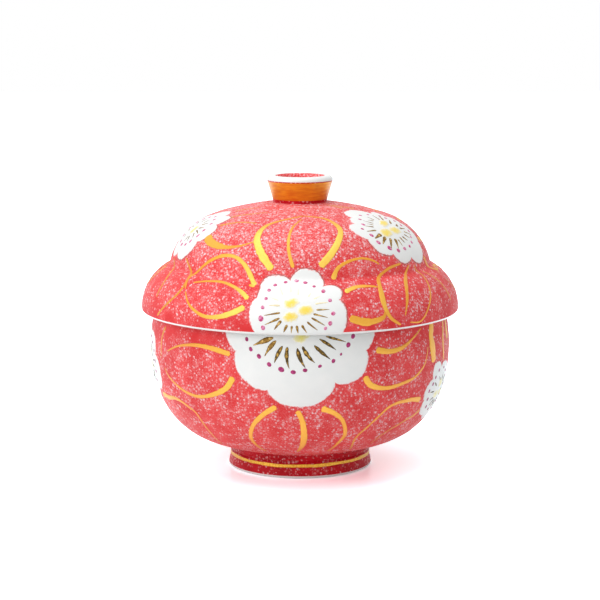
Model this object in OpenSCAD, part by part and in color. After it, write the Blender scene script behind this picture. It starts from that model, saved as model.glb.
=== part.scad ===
// Lidded donburi bowl: a round bowl on a ring foot, under a domed lid that fits over the outside of the rim.
// Every piece is turned about the Z axis, and the table is at Z = 0.

/* [Bowl] */
// Widest diameter of the bowl
belly_d = 141.8; // [125:0.2:160]
// Height of the widest place above the table
belly_h = 58.6; // [52:0.2:66]
// Height of the rim above the table
rim_h = 90.5; // [82:0.5:100]
// Radius of the inward curve from the widest place up to the rim
upper_curve_r = 75; // [62:1:110]
// Fullness of the lower wall: 2 is an ellipse, and more is squarer
lower_fullness = 2.2; // [2:0.05:2.8]
// Thickness of the wall
wall_t = 3.6; // [2.8:0.1:4.6]
// Thickness of the floor in the middle
floor_t = 5.4; // [4:0.1:8]
// Fullness of the hollow inside
hollow_fullness = 2.9; // [2.5:0.05:3.2]
// Rounding of the rim's two edges
rim_round = 1.1; // [0.5:0.1:1.3]

/* [Foot] */
// Diameter of the foot where it stands
foot_d = 68.4; // [60:0.2:76]
// Height of the foot ring
foot_h = 7.8; // [5:0.2:10]
// How far the foot draws in from the table to its neck
foot_draw = 1.1; // [0:0.1:2]
// Height of the straight neck at the top of the foot
neck_h = 1.8; // [1:0.1:3]
// Thickness of the foot ring where it stands
foot_t = 4.6; // [3.5:0.1:6]
// Draft of the foot's inner side, from the table to its top
foot_draft = 1.2; // [0:0.1:2]
// Rounding of the foot's two lower edges
foot_round = 0.7; // [0.3:0.1:1.2]
// Radius of the hollow curve between the foot's neck and the bowl
cove_r = 4.8; // [3:0.1:6]
// How far the recess under the floor is domed
recess_rise = 1.2; // [0:0.1:2]

/* [Lid] */
// How far the lid's widest place stands out past the bowl's widest place
lid_overhang = 4.1; // [4:0.1:7]
// How far the lid's lower edge hangs below the bowl's rim
skirt_drop = 15.9; // [12:0.1:20]
// Thickness of the lid's wall
lid_t = 3.3; // [2.6:0.1:3.8]
// Height of the groove round the lid above the bowl's rim
groove_h = 6.5; // [5:0.1:8]
// How far the groove lies in from the outside of the bowl's rim
groove_in = 2.2; // [1.2:0.1:3]
// Rise of the crown above the groove
crown_rise = 29.3; // [25:0.1:34]
// Radius of the curve over the top of the crown
crown_r = 131; // [115:1:160]
// Radius of the curve between the crown and the groove
shoulder_r = 29.4; // [25:0.1:34]
// Rounding of the outer edge of the lid's rim
edge_round = 1.7; // [0.8:0.1:2]
// Rounding of the inner edge of the lid's rim
inner_round = 0.9; // [0.4:0.1:1.2]

/* [Knob] */
// Diameter of the knob where it meets the lid
knob_base_d = 24.9; // [20:0.1:30]
// How far the knob's wall flares out from its base to its lip
knob_flare = 3.05; // [1:0.05:5]
// Height of the knob above its seat on the lid
knob_h = 12.5; // [9:0.1:16]
// Thickness of the knob's lip
lip_t = 5.3; // [4.6:0.1:6.5]
// Rounding of the lip's two edges
lip_round = 2.2; // [1:0.1:2.3]
// How far the knob's dish narrows from the lip to its floor
dish_taper = 1.6; // [0:0.1:3]

/* [Hidden] */
// Steps along each curve, and round each piece
curve_steps = 20;
round_steps = 5;
$fn = 180;

// Share of the cove past which the lower wall begins, and the angle past the widest place of the upper wall
cove_clear_share = 1.1;
upper_start_a = 2;

// Bowl, worked out from the sizes above
belly_r = belly_d / 2;
rim_r = belly_r - upper_curve_r + sqrt(pow(upper_curve_r, 2) - pow(rim_h - belly_h, 2));
foot_r = foot_d / 2;
neck_r = foot_r - foot_draw;
recess_r = foot_r - foot_t - foot_draft;
under_h = foot_h + cove_r;
hollow_r = belly_r - wall_t;
hollow_floor_h = foot_h + recess_rise + floor_t;

// Lid
widest_r = belly_r + lid_overhang;
edge_h = rim_h - skirt_drop;
widest_h = edge_h + edge_round;
groove_r = rim_r - groove_in;
groove_z = rim_h + groove_h;
skirt_in = widest_r - groove_r;
skirt_up = groove_z - widest_h;
skirt_r = (pow(skirt_in, 2) + pow(skirt_up, 2)) / (2 * skirt_in);
skirt_c = [widest_r - skirt_r, widest_h];
crown_c = [0, groove_z + crown_rise - crown_r];
groove_p = [groove_r, groove_z];
shoulder_c = inner_centre(crown_c, crown_r - shoulder_r, groove_p, shoulder_r);
crown_a = direction(crown_c, shoulder_c);

// Knob
knob_base_r = knob_base_d / 2;
seat_z = crown_c.y + sqrt(pow(crown_r, 2) - pow(knob_base_r, 2));
lip_r = knob_base_r + knob_flare;
knob_top = seat_z + knob_h;
dish_r = lip_r - lip_t;

// Angle of the line from one point to another
function direction(from, to) = atan2(to.y - from.y, to.x - from.x);

// Points on a circle's arc
function arc(centre, r, from, to, steps) =
    [for (i = [0 : steps])
        let (a = from + (to - from) * i / steps)
        centre + r * [cos(a), sin(a)]];

// Centre at distance ra from a and rb from b, on the side of the axis
function inner_centre(a, ra, b, rb) =
    let (
        d = norm(b - a),
        u = (b - a) / d,
        p = (pow(ra, 2) - pow(rb, 2) + pow(d, 2)) / (2 * d),
        q = sqrt(pow(ra, 2) - pow(p, 2))
    )
    a + u * p + [-u.y, u.x] * q;

// Quarter of a rounded square curve, from its lowest point out to its widest
function full_quarter(low, wide, fullness, from, steps) =
    [for (i = [0 : steps])
        let (
            a = from + (90 - from) * i / steps,
            across = pow(sin(a), 2 / fullness),
            down = pow(cos(a), 2 / fullness)
        )
        [low.x + (wide.x - low.x) * across, wide.y - (wide.y - low.y) * down]];

// Angle at which that curve has gone a given share of the way out
function quarter_start(share, fullness) = asin(pow(share, fullness / 2));

function backwards(points) = [for (i = [len(points) - 1 : -1 : 0]) points[i]];

// Outer line of the bowl, from the foot's neck up to the rim
bowl_outside = concat(
    arc([neck_r + cove_r, foot_h], cove_r, 180, 90, round_steps),
    full_quarter([neck_r, under_h], [belly_r, belly_h], lower_fullness,
        quarter_start(cove_clear_share * cove_r / (belly_r - neck_r), lower_fullness), curve_steps),
    arc([belly_r - upper_curve_r, belly_h], upper_curve_r, upper_start_a,
        asin((rim_h - rim_round - belly_h) / upper_curve_r), curve_steps)
);

// Inner line of the bowl, from the rim down to the middle of the floor
hollow_wall_r = upper_curve_r - wall_t;
bowl_inside = concat(
    arc([belly_r - upper_curve_r, belly_h], hollow_wall_r,
        asin((rim_h - rim_round - belly_h) / hollow_wall_r), upper_start_a, curve_steps),
    backwards(full_quarter([0, hollow_floor_h], [hollow_r, belly_h], hollow_fullness, 0, curve_steps))
);

// Domed ceiling of the recess inside the foot
recess_ceiling = [for (i = [0 : round_steps])
    let (share = i / round_steps)
    [recess_r * share, foot_h + recess_rise * (1 + cos(180 * share)) / 2]];

module bowl_body()
{
    outer_end = bowl_outside[len(bowl_outside) - 1];
    inner_start = bowl_inside[0];
    color("firebrick")
        rotate_extrude()
            polygon(concat(
                recess_ceiling,
                bowl_outside,
                arc([outer_end.x - rim_round, rim_h - rim_round], rim_round, 0, 90, round_steps),
                arc([inner_start.x + rim_round, rim_h - rim_round], rim_round, 90, 180, round_steps),
                bowl_inside
            ));
}

module foot_ring()
{
    inner_r = foot_r - foot_t;
    color("crimson")
        rotate_extrude()
            polygon(concat(
                arc([inner_r + foot_round, foot_round], foot_round, 180, 270, round_steps),
                arc([foot_r - foot_round, foot_round], foot_round, 270, 360, round_steps),
                [
                    [neck_r, foot_h - neck_h],
                    [neck_r, foot_h],
                    [recess_r, foot_h]
                ]
            ));
}

// Outer line of the lid, from its lower edge up to the knob's seat
lid_outside = concat(
    arc(skirt_c, skirt_r, 0, direction(skirt_c, groove_p), curve_steps),
    arc(shoulder_c, shoulder_r, direction(shoulder_c, groove_p), crown_a, curve_steps),
    arc(crown_c, crown_r, crown_a, acos(knob_base_r / crown_r), curve_steps)
);

// Inner line of the lid, from the middle of the crown down to the seat on the bowl's rim
vault_end = max(0, asin((rim_h - shoulder_c.y) / (shoulder_r - lid_t)));
lid_inside = concat(
    arc(crown_c, crown_r - lid_t, 90, crown_a, curve_steps),
    arc(shoulder_c, shoulder_r - lid_t, crown_a, vault_end, curve_steps)
);

// Inner line of the skirt, from the seat down to the rim's inner rounding
skirt_inner_r = skirt_r - lid_t;
skirt_inside = arc(skirt_c, skirt_inner_r, asin((rim_h - widest_h) / skirt_inner_r), 0, curve_steps);

module lid_shell()
{
    vault_low = lid_inside[len(lid_inside) - 1];
    inner_edge_r = widest_r - lid_t;
    color("indianred")
        rotate_extrude()
            polygon(concat(
                lid_inside,
                [[vault_low.x, rim_h]],
                skirt_inside,
                arc([inner_edge_r + inner_round, edge_h + inner_round], inner_round, 180, 270, round_steps),
                arc([widest_r - edge_round, widest_h], edge_round, 270, 360, round_steps),
                lid_outside,
                [[0, seat_z]]
            ));
}

module lid_knob()
{
    color("darkgoldenrod")
        rotate_extrude()
            polygon(concat(
                [
                    [dish_r - dish_taper, seat_z],
                    [knob_base_r, seat_z]
                ],
                arc([lip_r - lip_round, knob_top - lip_round], lip_round, 0, 90, round_steps),
                arc([dish_r + lip_round, knob_top - lip_round], lip_round, 90, 180, round_steps)
            ));
}

bowl_body();
foot_ring();
lid_shell();
lid_knob();
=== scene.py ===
# Lidded donburi bowl in overglaze-painted porcelain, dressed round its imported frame
import math
import random

import bpy
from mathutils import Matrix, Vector


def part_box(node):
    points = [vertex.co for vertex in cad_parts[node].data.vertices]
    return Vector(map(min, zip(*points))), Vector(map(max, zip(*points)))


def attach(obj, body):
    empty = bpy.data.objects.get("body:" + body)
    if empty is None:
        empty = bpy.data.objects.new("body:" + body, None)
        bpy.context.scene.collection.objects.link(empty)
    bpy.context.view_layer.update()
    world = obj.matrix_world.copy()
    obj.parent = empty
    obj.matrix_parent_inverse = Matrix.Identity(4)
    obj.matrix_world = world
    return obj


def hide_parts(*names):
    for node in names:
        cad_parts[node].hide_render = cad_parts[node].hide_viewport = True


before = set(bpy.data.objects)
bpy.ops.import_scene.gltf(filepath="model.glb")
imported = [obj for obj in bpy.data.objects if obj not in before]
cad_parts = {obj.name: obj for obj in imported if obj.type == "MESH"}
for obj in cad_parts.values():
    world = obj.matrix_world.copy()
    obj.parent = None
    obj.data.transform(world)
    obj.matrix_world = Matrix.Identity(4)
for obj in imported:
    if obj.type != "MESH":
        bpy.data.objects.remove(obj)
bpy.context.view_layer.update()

mm = 0.001  # one millimetre, in the scene's metres
roundSteps = 256  # steps round each turned piece
print("stage: frame loaded, with", len(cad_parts), "CAD nodes")


# Small helpers

def linear(hexColour, alpha=1.0):
    channels = [int(hexColour[i:i + 2], 16) / 255 for i in (1, 3, 5)]
    return [c / 12.92 if c <= 0.04045 else ((c + 0.055) / 1.055) ** 2.4 for c in channels] + [alpha]


def addObject(name, data):
    thing = bpy.data.objects.new(name, data)
    bpy.context.scene.collection.objects.link(thing)
    return thing


def chainMesh(name, points):
    # Points joined one after the other by edges
    mesh = bpy.data.meshes.new(name)
    mesh.from_pydata(points, [(i, i + 1) for i in range(len(points) - 1)], [])
    return mesh


class Nodes:
    # A node tree built in short steps: add gives the node, and every other step the socket of its result
    def __init__(self, tree):
        self.tree = tree

    def add(self, kind, links=None, **settings):
        node = self.tree.nodes.new(kind)
        for key, value in settings.items():
            setattr(node, key, value)
        for key, value in (links or {}).items():
            if isinstance(value, bpy.types.NodeSocket):
                self.tree.links.new(value, node.inputs[key])
            else:
                node.inputs[key].default_value = value
        return node

    def get(self, kind, links=None, **settings):
        return self.add(kind, links, **settings).outputs[0]

    def calculate(self, operation, first, second=0.0):
        return self.get("ShaderNodeMath", {0: first, 1: second}, operation=operation)

    def vector(self, operation, first, second, third=(0.0, 0.0, 0.0)):
        return self.get("ShaderNodeVectorMath", {0: first, 1: second, 2: third}, operation=operation)

    def split(self, vector):
        return self.add("ShaderNodeSeparateXYZ", {0: vector}).outputs

    def join(self, x=0.0, y=0.0, z=0.0):
        return self.get("ShaderNodeCombineXYZ", {0: x, 1: y, 2: z})


def emptied(owner):
    # The node tree of a material or a world, emptied to be built anew
    owner.use_nodes = True
    owner.node_tree.nodes.clear()
    return owner.node_tree


# Materials. Pattern scales are in millimetres.

class Coat(Nodes):
    # A material on one principled shader, with its patterns fixed to the object
    def __init__(self, name, shaderValues):
        self.material = bpy.data.materials.new(name)
        super().__init__(emptied(self.material))
        self.shader = self.add("ShaderNodeBsdfPrincipled", shaderValues)
        self.add("ShaderNodeOutputMaterial", {"Surface": self.shader.outputs[0]})
        self.place = self.add("ShaderNodeTexCoord").outputs["Object"]

    def noise(self, grainMm, detail=2.0, place=None):
        place = self.place if place is None else place
        return self.get("ShaderNodeTexNoise",
                        {"Vector": place, "Scale": 1 / (grainMm * mm), "Detail": detail})

    def blend(self, share, first, second):
        # Each colour is a socket or a hex code
        first, second = [linear(c) if isinstance(c, str) else c for c in (first, second)]
        return self.add("ShaderNodeMix", {0: share, 6: first, 7: second}, data_type="RGBA").outputs[2]

    def ramp(self, value, low, high, outLow=0.0, outHigh=1.0):
        return self.get("ShaderNodeMapRange", {0: value, 1: low, 2: high, 3: outLow, 4: outHigh},
                        interpolation_type="SMOOTHSTEP")

    def addShare(self, value, other, share):
        return self.calculate("ADD", value, self.calculate("MULTIPLY", other, share))

    def carried(self, name):
        # A value that the painted points carry
        return self.add("ShaderNodeAttribute", attribute_name=name).outputs["Fac"]

    def finish(self, colour, relief=None, depthMm=0.03):
        self.tree.links.new(colour, self.shader.inputs["Base Color"])
        if relief is not None:
            bump = self.get("ShaderNodeBump", {"Strength": 1.0, "Distance": depthMm * mm, "Height": relief})
            self.tree.links.new(bump, self.shader.inputs["Normal"])
        return self.material


redGlaze = {
    "ground": "#EF4547", "deepGround": "#E0383B", "haze": "#F59494", "speck": "#FCE8EB",
    "speckSpacing": 0.95, "speckFine": 0.6, "clump": 7.0, "density": 0.5, "roughness": 0.52,
    # Paler towards the top: more pale specks there, partly real sponging and partly a painted sheen of the
    # light from above
    "topSpecksAndSheen": 0.42, "speckSheenFromZ": 94.0, "speckSheenFullZ": 116.0,
    # Fewer specks, so a darker red, in a band just under the lid's edge: painted shade of the lid
    "lidShadeZ": 73.5, "lidShadeDrop": 0.26, "lidShadeHalf": 3.0, "lidShadeFade": 9.0,
}
footGlaze = dict(redGlaze, ground="#D20A22", deepGround="#B20418", haze="#D63E44", speck="#F2C4C4",
                 speckSpacing=1.0, clump=4.0, density=0.4, roughness=0.4, topSpecksAndSheen=0.0, lidShadeDrop=0.0)


def spongedGlaze(name, look):
    # Overglaze red sponged over with white slip: satin, with pale specks in clumps
    coat = Coat(name, {"Roughness": look["roughness"], "IOR": 1.5, "Specular IOR Level": 0.12})
    wander = coat.add("ShaderNodeTexNoise", {"Vector": coat.place, "Scale": 1 / (0.8 * mm), "Detail": 1.0})
    shifted = coat.vector("MULTIPLY_ADD", wander.outputs["Color"], (0.5 * mm,) * 3, coat.place)
    density = look["density"]
    crowd = coat.ramp(coat.noise(look["clump"], 3.0), 0.36, 0.64, density * 0.5, density * 1.35)
    height = coat.split(coat.place)[2]
    # More specks towards the top: partly the sponging, partly a painted sheen where the light from above
    # glances off the lid
    topSpeckSheen = coat.ramp(height, look["speckSheenFromZ"] * mm, look["speckSheenFullZ"] * mm, 0.0, look["topSpecksAndSheen"])
    # Painted shade of the lid: fewer pale specks in a band just under its edge, so the red there is darker
    away = coat.calculate("ABSOLUTE", coat.calculate("SUBTRACT", height, look["lidShadeZ"] * mm))
    plain = coat.ramp(away, look["lidShadeHalf"] * mm, look["lidShadeFade"] * mm, look["lidShadeDrop"], 0.0)
    crowd = coat.calculate("SUBTRACT", coat.calculate("ADD", crowd, topSpeckSheen), plain)
    ground = coat.blend(coat.ramp(coat.noise(14.0), 0.3, 0.7), look["deepGround"], look["ground"])
    fine = coat.ramp(coat.noise(look["speckFine"], 2.0, shifted), 0.4, 0.68)
    colour = coat.blend(coat.calculate("MULTIPLY", fine, crowd), ground, look["haze"])
    for spacing, reach in ((look["speckSpacing"], 0.6), (look["speckSpacing"] * 1.7, 0.4)):
        cells = coat.add("ShaderNodeTexVoronoi", {"Vector": shifted, "Scale": 1 / (spacing * mm)})
        chance = coat.add("ShaderNodeSeparateColor", {0: cells.outputs["Color"]}).outputs
        present = coat.ramp(coat.calculate("SUBTRACT", crowd, chance[0]), -0.05, 0.15)
        size = coat.calculate("MULTIPLY", coat.ramp(chance[1], 0.0, 1.0, 0.45, 1.0), reach)
        inside = coat.ramp(coat.calculate("SUBTRACT", size, cells.outputs["Distance"]), -0.16, 0.32)
        speck = coat.calculate("MULTIPLY", inside, present)
        bright = coat.calculate("MULTIPLY", speck, coat.ramp(chance[2], 0.0, 1.0, 0.25, 0.8))
        colour = coat.blend(bright, colour, look["speck"])
    return coat.finish(colour, coat.addShare(coat.noise(2.5), bright, 0.6))


def porcelainGlaze():
    # Clear glaze over white porcelain: glossy, faintly cool, with a slight ripple
    coat = Coat("porcelain_clear_glaze", {"Roughness": 0.16, "IOR": 1.52})
    return coat.finish(coat.blend(coat.noise(30.0), "#EEF1F0", "#F5F6F4"), coat.noise(9.0, 1.0), 0.06)


def bareBiscuit():
    # Unglazed fired porcelain on the ring that stands in the kiln: matte and dry
    coat = Coat("porcelain_bare_biscuit", {"Roughness": 0.75, "IOR": 1.45})
    grain = coat.noise(0.6, 3.0)
    return coat.finish(coat.blend(grain, "#E6E2DA", "#F4F1EA"), grain, 0.04)


def whiteEnamel():
    # Opaque white overglaze enamel: satin, laid on thick, pink where it thins at its edge
    coat = Coat("overglaze_white_enamel", {"Roughness": 0.34, "IOR": 1.5, "Specular IOR Level": 0.28})
    ragged = coat.addShare(coat.carried("inset"), coat.noise(1.0, 3.0), -2.0)
    thin = coat.ramp(ragged, -1.05, -0.35, 1.0, 0.0)
    body = coat.blend(coat.noise(6.0, 3.0), "#EFF2F1", "#FAFAF8")
    return coat.finish(coat.blend(thin, body, "#F08484"), coat.noise(1.6, 3.0))


def yellowEnamel():
    # Yellow overglaze enamel dabbed wet on the white: soft edges, clear in the middle
    coat = Coat("overglaze_yellow_enamel", {"Roughness": 0.32, "IOR": 1.5})
    mottled = coat.addShare(coat.carried("heart"), coat.noise(0.8, 3.0), 0.7)
    full = coat.blend(coat.carried("wash"), "#FDE04E", "#EFE27C")
    return coat.finish(coat.blend(coat.ramp(mottled, 0.6, 1.45), "#F8F5E6", full))


def magentaEnamel():
    # Magenta overglaze enamel in small dots: glossy beads, darker where they pool, paler pink where thin and
    # where a painted highlight lies on the lid's dots
    coat = Coat("overglaze_magenta_enamel", {"Roughness": 0.32, "IOR": 1.5, "Specular IOR Level": 0.25})
    pool = coat.ramp(coat.noise(1.1), 0.35, 0.65)
    deep = coat.blend(pool, "#8E1656", "#B82C76")
    # The pale end is thin enamel and, on the lid's dots, a painted highlight
    thin = coat.blend(pool, "#D23C7C", "#F4A8C8")
    return coat.finish(coat.blend(coat.carried("wash"), deep, thin))


def gildedPaint():
    # Matte gold painted with a loaded brush: bright where thick, orange where the red shows through
    coat = Coat("overglaze_gold_paint", {"Roughness": 0.45, "Metallic": 0.25})
    thick = coat.ramp(coat.carried("halfWidth"), 0.5, 1.6)
    wash = coat.carried("wash")
    mottle = coat.noise(0.9, 3.0)
    thin = coat.blend(wash, coat.blend(mottle, "#EC9424", "#F5B034"),
                      coat.blend(mottle, "#DC8A22", "#E8A030"))
    full = coat.blend(wash, coat.blend(mottle, "#F9C444", "#FFDC66"),
                      coat.blend(mottle, "#E8A02C", "#F2B43C"))
    edge = coat.ramp(coat.addShare(coat.carried("middle"), mottle, 0.3), 0.2, 0.7, 0.55, 0.0)
    return coat.finish(coat.blend(edge, coat.blend(thick, thin, full), "#CE7420"), coat.noise(0.5, 3.0))


def burntGold():
    # Gold over brown, as fired on the stamens: dark, with bright grains, and golden then pale where a painted
    # reflection of the light on the gold lightens it
    coat = Coat("overglaze_burnt_gold", {"Roughness": 0.42, "Metallic": 0.25, "Specular IOR Level": 0.2})
    wash = coat.carried("wash")
    # Painted reflection: the share lightens a stamen to gold and then to pale cream, where the light would
    # glint on it
    warm = coat.ramp(wash, 0.0, 0.2)
    pale = coat.ramp(wash, 0.2, 1.0)
    grains = coat.ramp(coat.noise(1.3, 1.0), 0.42, 0.72)
    gold = coat.blend(grains, coat.blend(warm, "#5C441C", "#9E7430"), coat.blend(warm, "#C89C48", "#E4BC70"))
    edge = coat.ramp(coat.addShare(coat.carried("middle"), grains, 0.2), 0.55, 1.15, 1.0, 0.0)
    dark = coat.blend(edge, gold, coat.blend(warm, "#3A2A12", "#6C4C18"))
    return coat.finish(coat.blend(pale, dark, "#FBF0C8"))


def bandGold():
    # Bright gold band turned round the foot with a full brush: grainy lemon gold
    coat = Coat("overglaze_gold_band", {"Roughness": 0.36, "Metallic": 0.35})
    grain = coat.ramp(coat.noise(0.7, 3.0), 0.35, 0.65)
    return coat.finish(coat.blend(grain, "#D29614", "#ECBE36"), grain)


def linePaint():
    # Thin brown-red line drawn round the petals before the enamel
    coat = Coat("overglaze_brown_line", {"Roughness": 0.4, "IOR": 1.5})
    return coat.finish(coat.blend(coat.noise(1.5), "#8A3A30", "#B98078"))


def knobLustre():
    # Gold lustre brushed round the knob: streaky orange gold, with deeper patches
    coat = Coat("brushed_gold_lustre", {"Roughness": 0.3, "Metallic": 0.45})
    flattened = coat.get("ShaderNodeMapping", {"Vector": coat.place, "Scale": (1.0, 1.0, 6.0)})
    streak = coat.noise(6.0, 3.0, flattened)
    gold = coat.blend(coat.ramp(streak, 0.3, 0.7), "#D47C0E", "#E49A18")
    return coat.finish(coat.blend(coat.ramp(coat.noise(7.0), 0.42, 0.72, 0.0, 0.5), gold, "#C45A06"), streak)


coats = {
    "red": spongedGlaze("overglaze_red_sponged", redGlaze),
    "crimson": spongedGlaze("overglaze_crimson_sponged", footGlaze),
    "white": porcelainGlaze(),
    "bare": bareBiscuit(),
    "petal": whiteEnamel(),
    "yellow": yellowEnamel(),
    "magenta": magentaEnamel(),
    "gold": gildedPaint(),
    "stamen": burntGold(),
    "line": linePaint(),
    "lustre": knobLustre(),
    "band": bandGold(),
}
print("stage: materials made")


# Outlines of the turned pieces, as (radius, height) in millimetres, like the CAD's own

def arc(centre, radius, start, end, steps):
    angles = [math.radians(start + (end - start) * i / steps) for i in range(steps + 1)]
    return [Vector((centre[0] + radius * math.cos(a), centre[1] + radius * math.sin(a))) for a in angles]


def fullQuarter(low, wide, fullness, start, steps):
    # Quarter of a rounded square curve, from its lowest point out to its widest
    points = []
    for i in range(steps + 1):
        a = math.radians(start + (90 - start) * i / steps)
        across = math.sin(a) ** (2 / fullness)
        down = max(math.cos(a), 0) ** (2 / fullness)
        points.append(Vector((low[0] + (wide[0] - low[0]) * across, wide[1] - (wide[1] - low[1]) * down)))
    return points


def quarterStart(share, fullness):
    # Angle at which that curve has gone a given share of the way out
    return math.degrees(math.asin(share ** (fullness / 2)))


def direction(start, end):
    return math.degrees(math.atan2(end[1] - start[1], end[0] - start[0]))


def angleOf(rise, radius):
    return math.degrees(math.asin(rise / radius))


def innerCentre(a, reachA, b, reachB):
    # Centre at given distances from two points, on the side of the axis
    gap = b - a
    along = gap.normalized()
    p = (reachA ** 2 - reachB ** 2 + gap.length_squared) / (2 * gap.length)
    q = math.sqrt(reachA ** 2 - p ** 2)
    return a + along * p + Vector((-along.y, along.x)) * q


def softBend(before, corner, after, steps):
    # Curve that leaves one line and joins another where they would meet at a corner
    shares = [i / steps for i in range(steps + 1)]
    return [before * (1 - t) ** 2 + corner * 2 * t * (1 - t) + after * t ** 2 for t in shares]


def splitAt(points, way):
    # Cuts a line in two at a distance along it
    gone = 0.0
    for i in range(1, len(points)):
        step = (points[i] - points[i - 1]).length
        if gone + step >= way:
            cut = points[i - 1].lerp(points[i], (way - gone) / step)
            return points[:i] + [cut], [cut] + points[i:]
        gone += step
    return points, points[-1:]


def lineLength(points):
    return sum((points[i] - points[i - 1]).length for i in range(1, len(points)))


bowl = {
    "bellyR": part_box("bowl_body")[1].x / mm, "bellyZ": 58.6, "rimZ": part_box("bowl_body")[1].z / mm,
    "upperCurve": 75.0, "upperFrom": 2.0, "lowerFullness": 2.2, "wall": 3.6, "floor": 5.4,
    "hollowFullness": 2.9, "rimRound": 1.1, "cove": 4.8, "coveClear": 1.1, "recessRise": 1.2,
    "whiteRim": 1.6, "crimsonCove": 3.6, "coveSteps": 8, "rimSteps": 6, "recessSteps": 6,
}
foot = {
    "standR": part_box("foot_ring")[1].x / mm, "height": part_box("foot_ring")[1].z / mm, "draw": 1.1,
    "neck": 1.8, "width": 4.6, "draft": 1.2, "round": 0.7, "roundSteps": 6, "whiteLine": 0.5,
}
lid = {
    "widestR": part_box("lid_shell")[1].x / mm, "edgeZ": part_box("lid_shell")[0].z / mm, "wall": 3.3,
    "edgeRound": 1.7, "innerRound": 0.9, "grooveUp": 6.5, "grooveIn": 2.2, "crownRise": 29.3,
    "crownCurve": 131.0, "shoulderCurve": 29.4, "grooveSoft": 1.3, "whiteEdge": 2.15,
    "edgeSteps": 8, "grooveSteps": 8, "innerSteps": 5,
}
knob = {
    "baseR": 12.45, "topZ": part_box("lid_knob")[1].z / mm, "lipR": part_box("lid_knob")[1].x / mm,
    "lip": 5.3, "lipRound": 2.2, "dishTaper": 1.6, "dishFloor": 1.2, "footSoft": 0.5, "sunk": 0.1,
    "redLine": 0.5, "crimsonLine": 1.0, "redFrom": 22, "footSteps": 6, "lipSteps": 12, "turnInSteps": 4,
    "dishSteps": 9,
}
curveSteps = 24  # steps along each long curve
samePoint = 0.01  # points of an outline that lie closer are one

neckR = foot["standR"] - foot["draw"]
recessR = foot["standR"] - foot["width"] - foot["draft"]
rimR = bowl["bellyR"] - bowl["upperCurve"] + math.sqrt(
    bowl["upperCurve"] ** 2 - (bowl["rimZ"] - bowl["bellyZ"]) ** 2)


def bowlLines():
    footTop = foot["height"]
    bellyR, bellyZ, curve = bowl["bellyR"], bowl["bellyZ"], bowl["upperCurve"]
    start = quarterStart(bowl["coveClear"] * bowl["cove"] / (bellyR - neckR), bowl["lowerFullness"])
    upper = (bellyR - curve, bellyZ)
    rise = bowl["rimZ"] - bowl["rimRound"] - bellyZ
    outside = arc((neckR + bowl["cove"], footTop), bowl["cove"], 180, 90, bowl["coveSteps"])
    outside += fullQuarter((neckR, footTop + bowl["cove"]), (bellyR, bellyZ), bowl["lowerFullness"], start,
                           2 * curveSteps)
    outside += arc(upper, curve, bowl["upperFrom"], angleOf(rise, curve), curveSteps)
    innerCurve = curve - bowl["wall"]
    inside = arc(upper, innerCurve, angleOf(rise, innerCurve), bowl["upperFrom"], curveSteps)
    hollowFloor = footTop + bowl["recessRise"] + bowl["floor"]
    hollow = fullQuarter((0, hollowFloor), (bellyR - bowl["wall"], bellyZ), bowl["hollowFullness"], 0,
                         2 * curveSteps)
    return outside, inside + hollow[::-1]


def lidLines():
    rimZ, wall, shoulder, soft = bowl["rimZ"], lid["wall"], lid["shoulderCurve"], lid["grooveSoft"]
    widestZ = lid["edgeZ"] + lid["edgeRound"]
    groove = Vector((rimR - lid["grooveIn"], rimZ + lid["grooveUp"]))
    inward, up = lid["widestR"] - groove.x, groove.y - widestZ
    skirtR = (inward ** 2 + up ** 2) / (2 * inward)
    skirtC = Vector((lid["widestR"] - skirtR, widestZ))
    crownC = Vector((0, groove.y + lid["crownRise"] - lid["crownCurve"]))
    shoulderC = innerCentre(crownC, lid["crownCurve"] - shoulder, groove, shoulder)
    crownA = direction(crownC, shoulderC)
    skirtEnd = direction(skirtC, groove) - math.degrees(soft / skirtR)
    shoulderStart = direction(shoulderC, groove) + math.degrees(soft / shoulder)
    skirt = arc(skirtC, skirtR, 0, skirtEnd, curveSteps)
    dome = arc(shoulderC, shoulder, shoulderStart, crownA, curveSteps)
    bend = softBend(skirt[-1], groove, dome[0], lid["grooveSteps"])
    crown = arc(crownC, lid["crownCurve"], crownA, 90, 2 * curveSteps)
    edge = arc((lid["widestR"] - lid["edgeRound"], widestZ), lid["edgeRound"], 270, 360, lid["edgeSteps"])
    vaultEnd = max(0, angleOf(rimZ - shoulderC.y, shoulder - wall))
    inside = arc(crownC, lid["crownCurve"] - wall, 90, crownA, curveSteps)
    inside += arc(shoulderC, shoulder - wall, crownA, vaultEnd, curveSteps)
    inside += [Vector((inside[-1].x, rimZ))]
    inside += arc(skirtC, skirtR - wall, angleOf(rimZ - widestZ, skirtR - wall), 0, curveSteps)
    innerC = (lid["widestR"] - wall + lid["innerRound"], lid["edgeZ"] + lid["innerRound"])
    inside += arc(innerC, lid["innerRound"], 180, 270, lid["innerSteps"])
    seatZ = crownC.y + math.sqrt(lid["crownCurve"] ** 2 - knob["baseR"] ** 2)
    return edge + skirt + bend + dome + crown, inside, seatZ


bowlOutside, bowlInside = bowlLines()
lidOutside, lidInside, seatZ = lidLines()


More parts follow.
